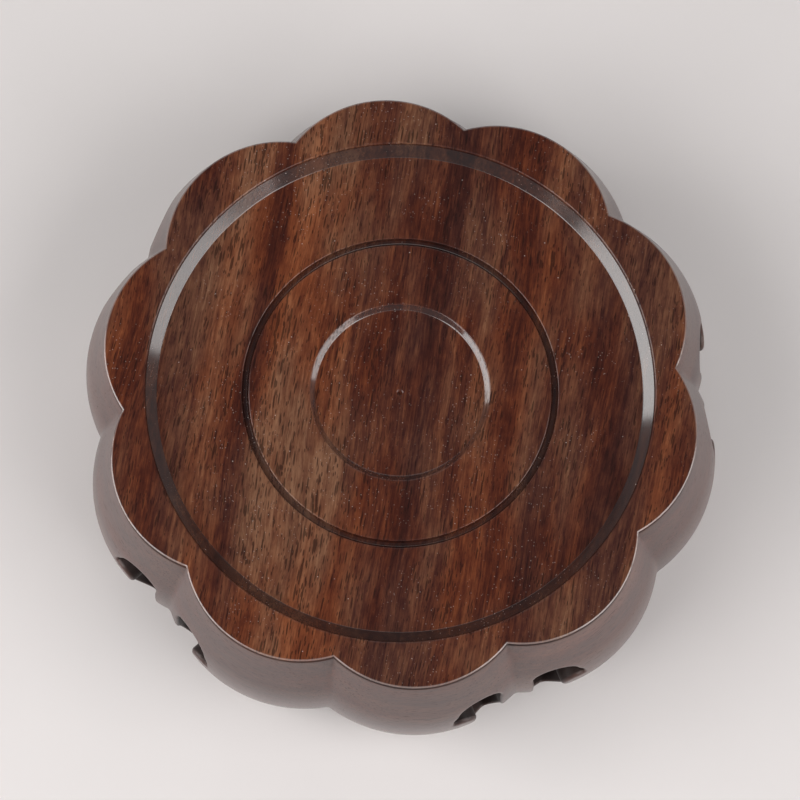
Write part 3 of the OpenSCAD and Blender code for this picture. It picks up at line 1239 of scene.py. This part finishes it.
    def _groove(self, angle: float) -> bpy.types.Object:
        """A cutter for half of a tongue's groove, at a mitre's angle in radians."""
        low, high = self.form.rebate_z + 0.3, self.form.stand_h
        middle = self.tongue_r + self.tongue_t / 2.0
        Bench.clear()
        bpy.ops.mesh.primitive_cube_add(
            size=MM,
            location=(
                middle * math.cos(angle) * MM, middle * math.sin(angle) * MM,
                (low + high) / 2.0 * MM,
            ),
            rotation=(0.0, 0.0, angle),
            scale=(
                self.tongue_t + 2.0 * self.form.fit, self.tongue_w + 2.0 * self.form.fit, high - low
            ),
        )
        piece = bpy.context.active_object
        bpy.ops.object.transform_apply(location=True, rotation=True, scale=True)
        return piece

    def _peg_hole(self) -> bpy.types.Object:
        """A cutter for the peg's hole in the ledge."""
        low, high = self.form.ledge_z - self.peg_down, self.form.stand_h
        turn = self.form.half_turn
        Bench.clear()
        bpy.ops.mesh.primitive_cylinder_add(
            vertices=48, radius=(self.peg_d / 2.0 + self.form.fit) * MM, depth=(high - low) * MM,
            location=(
                self.peg_r * math.cos(turn) * MM, self.peg_r * math.sin(turn) * MM,
                (low + high) / 2.0 * MM,
            ),
        )
        piece = bpy.context.active_object
        bpy.ops.object.transform_apply(location=True, rotation=True, scale=True)
        return piece

    def build(self) -> bpy.types.Object:
        """Models the stave that stands beside the post on the +X side of the stand."""
        piece = self._blank()
        Bench.cut(piece, self._core())
        Bench.cut(piece, self._groove(0.0))
        Bench.cut(piece, self._groove(2.0 * self.form.half_turn))
        Bench.cut(piece, self._peg_hole())
        Bench.open(piece)
        Bench.close(piece)
        return piece

    def copies(self, pattern: bpy.types.Object) -> List[bpy.types.Object]:
        """Sets out the ring of staves as copies of one, mirrored in turn.

        Args:
            pattern: The stave that build made; it is removed at the end.

        Returns:
            The staves in order.
        """
        staves = []
        turn = 2.0 * self.form.half_turn
        cos, sin = math.cos(self.form.half_turn), math.sin(self.form.half_turn)
        place = places(pattern)
        lay_values(pattern, POLISH, self._polish(place))
        tangent = place[:, 1] * cos - place[:, 0] * sin
        outward = place[:, 0] * cos + place[:, 1] * sin
        for number in range(1, self.form.lobes + 1):
            Bench.take(pattern)
            bpy.ops.object.duplicate(linked=False)
            piece = bpy.context.active_object
            piece.name = f"wall_stave_{number:02d}"
            piece.data.name = piece.name
            mirrored = number % 2 == 0
            self._lay_grain(piece, tangent, outward, place[:, 2], number)
            Bench.open(piece)
            bpy.ops.mesh.select_all(action="SELECT")
            if mirrored:
                bpy.ops.transform.resize(value=(1.0, -1.0, 1.0), center_override=(0.0, 0.0, 0.0))
            angle = turn * (number if mirrored else number - 1)
            bpy.ops.transform.rotate(
                value=-angle, orient_axis="Z", center_override=(0.0, 0.0, 0.0)
            )
            bpy.ops.mesh.normals_make_consistent(inside=False)
            bpy.ops.object.mode_set(mode="OBJECT")
            Bench.soften(piece)
            staves.append(piece)
        Bench.take(pattern)
        bpy.ops.object.delete()
        return staves

    def _polish(self, place: np.ndarray) -> np.ndarray:
        """Polish of the pattern's vertices: full on the outer face, none in the opening, where the
        finish darkens the bare wood as painted shade.
        """
        axis = self.form.axis_r * np.array(
            [math.cos(self.form.half_turn), math.sin(self.form.half_turn)]
        )
        out = np.hypot(place[:, 0] - axis[0], place[:, 1] - axis[1])
        depth = np.interp(place[:, 2], self._z, self._radius) - out
        return np.clip(1.0 - depth / self.polish_edge, 0.0, 1.0)

    @staticmethod
    def _lay_grain(
        piece: bpy.types.Object, tangent: np.ndarray, outward: np.ndarray, up: np.ndarray,
        number: int,
    ) -> None:
        """Stores the lie of the grain: across it, along it and into the wood, in millimetres."""
        swing = math.radians(4.0 * math.sin(number * 2.4))
        along = tangent * math.cos(swing) + up * math.sin(swing)
        across = up * math.cos(swing) - tangent * math.sin(swing)
        grain = np.stack([across + 57.0 * number, along + 131.0 * number, outward], axis=1)
        layer = piece.data.attributes.new(GRAIN, "FLOAT_VECTOR", "POINT")
        layer.data.foreach_set("vector", grain.astype(np.float32).ravel())

    def dress(self, staves: Sequence[bpy.types.Object]) -> None:
        """Gives every stave the wall's finish and its place in the part."""
        material = self.finish.material()
        for number, piece in enumerate(staves, start=1):
            piece.data.materials.clear()
            piece.data.materials.append(material)
            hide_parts(f"stave_{number:02d}")
            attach(piece, BODY)


@dataclass
class FootRing:
    """The flat ring that holds the staves together at the foot."""

    form: StandForm
    lift: float = 0.5
    height: float = 2.8
    width: float = 10.0
    edge: float = 0.5
    steps: int = 240
    finish: RosewoodFinish = RING_FINISH

    def build(self) -> bpy.types.Object:
        """Runs a bevelled section round the stand's axis."""
        outer = self.form.rebate_r - self.form.fit
        inner = self.form.rebate_r - self.width
        low, high = self.lift, self.lift + self.height
        here = (inner, low + self.edge)
        piece = Bench.circle("foot_ring", here[0], here[1], self.steps, "NOTHING")
        section = arc((inner + self.edge, low + self.edge), self.edge, 180.0, 270.0, 4)[1:]
        section += arc((outer - 0.2, low + 0.2), 0.2, -90.0, 0.0, 3)
        section += arc((outer - 0.2, high - 0.2), 0.2, 0.0, 90.0, 3)
        section += arc((inner + self.edge, high - self.edge), self.edge, 90.0, 180.0, 4)
        for there in section:
            Bench.step_ring(here, there)
            here = there
        Bench.step_ring(here, (inner, low + self.edge))
        Bench.close(piece, 2e-6)
        Bench.soften(piece)
        return piece

    def dress(self, piece: bpy.types.Object) -> None:
        """Gives the ring its finish and its place in the part."""
        piece.data.materials.append(self.finish.material())
        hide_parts("base_ring")
        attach(piece, BODY)


@dataclass
class HiddenJoints:
    """The tongues in the seams and the pegs under the board, kept as they are."""

    nodes: Tuple[str, ...] = ("seam_tongues", "board_pegs")
    finish: RosewoodFinish = JOINT_FINISH

    def dress(self) -> None:
        """Gives the tongues and pegs their bare wood."""
        material = self.finish.material()
        for name in self.nodes:
            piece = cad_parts[name]
            piece.data.materials.clear()
            piece.data.materials.append(material)


# studio


@dataclass(frozen=True)
class SoftBox:
    """A soft lamp that points at the stand; places are in metres."""

    name: str
    place: Triple
    size: Tuple[float, float]
    watts: float
    colour: Colour = (1.0, 1.0, 1.0)
    aim: Triple = (0.0, 0.0, 0.02)

    def build(self) -> bpy.types.Object:
        """Adds the lamp."""
        lamp = bpy.data.lights.new(self.name, "AREA")
        lamp.shape = "RECTANGLE"
        lamp.size, lamp.size_y = self.size
        lamp.energy = self.watts
        lamp.color = self.colour
        made = bpy.data.objects.new(self.name, lamp)
        bpy.context.scene.collection.objects.link(made)
        made.location = self.place
        way = Vector(self.aim) - Vector(self.place)
        made.rotation_euler = way.to_track_quat("-Z", "Y").to_euler()
        return made


@dataclass(frozen=True)
class Studio:
    """Floor, surroundings and lamps."""

    floor_side: float = 6.0
    floor_finish: PlainFinish = FLOOR_FINISH
    low_glow: Colour = (0.22, 0.215, 0.217)
    high_glow: Colour = (0.05, 0.05, 0.053)
    lamps: Tuple[SoftBox, ...] = (
        SoftBox("left_strip", (-0.54, -0.02, 0.1), (0.54, 0.2), 1.15, (1.0, 0.985, 0.975)),
        SoftBox("left_box", (-0.5, -0.11, 0.5), (0.7, 0.54), 3.9, (1.0, 0.985, 0.975)),
        SoftBox("right_strip", (0.48, -0.26, 0.1), (0.58, 0.2), 0.9, (1.0, 0.985, 0.98)),
        SoftBox("right_box", (0.44, -0.27, 0.48), (0.62, 0.5), 3.1, (1.0, 0.985, 0.98)),
        SoftBox("front_fill", (0.0, -0.5, 0.6), (0.6, 0.4), 0.3, (1.0, 0.985, 0.975)),
        SoftBox("back_fill", (0.05, 0.55, 0.6), (0.6, 0.4), 0.5, (1.0, 0.985, 0.975)),
    )

    def build(self) -> None:
        """Lays the floor, hangs the lamps and sets the surroundings."""
        Bench.clear()
        bpy.ops.mesh.primitive_plane_add(size=self.floor_side, location=(0.0, 0.0, 0.0))
        floor = bpy.context.active_object
        floor.name = "floor"
        floor.data.materials.append(self.floor_finish.material())
        for lamp in self.lamps:
            lamp.build()
        world = bpy.data.worlds.new("surroundings")
        bpy.context.scene.world = world
        world.use_nodes = True
        graph = Graph(world.node_tree)
        way = graph.node("ShaderNodeTexCoord", None, None, "Generated")
        up = graph.node("ShaderNodeSeparateXYZ", None, {0: way}, 2)
        glow = graph.blend(up.fade(0.1, 0.85), self.low_glow, self.high_glow)
        back = graph.node("ShaderNodeBackground", None, {"Color": glow, "Strength": 1.0})
        graph.node("ShaderNodeOutputWorld", None, {"Surface": back})


@dataclass(frozen=True)
class PhotoCamera:
    """A camera that sees the stand as the photograph does."""

    azimuth: float = -4.4
    elevation: float = 77.3
    distance: float = 580.0
    focal_px: float = 3697.0
    sensor: float = 36.0
    top_px: Point = (399.9, 388.8)
    top_z: float = 32.0

    def build(self) -> bpy.types.Object:
        """Adds the camera and makes it the scene's own."""
        az, el = math.radians(self.azimuth), math.radians(self.elevation)
        back = Vector((math.sin(az) * math.cos(el), -math.cos(az) * math.cos(el), math.sin(el)))
        top = Vector((0.0, 0.0, self.top_z))
        right = (-back).cross(Vector((0.0, 0.0, 1.0))).normalized()
        up = right.cross(-back)
        scale = self.distance / self.focal_px
        half = IMAGE_SIDE / 2.0
        aim = top + right * ((half - self.top_px[0]) * scale)
        aim -= up * ((half - self.top_px[1]) * scale)
        eye = top + back * self.distance
        lens = bpy.data.cameras.new("camera")
        lens.sensor_width = self.sensor
        lens.lens = self.focal_px * self.sensor / IMAGE_SIDE
        lens.clip_start = 0.01
        lens.clip_end = 50.0
        made = bpy.data.objects.new("camera", lens)
        bpy.context.scene.collection.objects.link(made)
        made.location = eye * MM
        made.rotation_euler = (aim - eye).to_track_quat("-Z", "Y").to_euler()
        bpy.context.scene.camera = made
        return made


def main() -> None:
    """Builds the stand, piece by piece, and the studio around it."""
    logging.basicConfig(level=logging.INFO, format="%(name)s: %(message)s")
    bpy.context.scene.view_settings.view_transform = "Standard"
    PhotoCamera().build()
    form = StandForm()
    board = SeatBoard(form)
    piece = board.build()
    board.dress(piece)
    log.info("%s: %d faces", piece.name, len(piece.data.polygons))
    wall = WallStave(form)
    staves = wall.copies(wall.build())
    wall.dress(staves)
    for piece in staves:
        log.info("%s: %d faces", piece.name, len(piece.data.polygons))
    ring = FootRing(form)
    piece = ring.build()
    ring.dress(piece)
    log.info("%s: %d faces", piece.name, len(piece.data.polygons))
    HiddenJoints().dress()
    Studio().build()


if __name__ == "__main__":
    main()
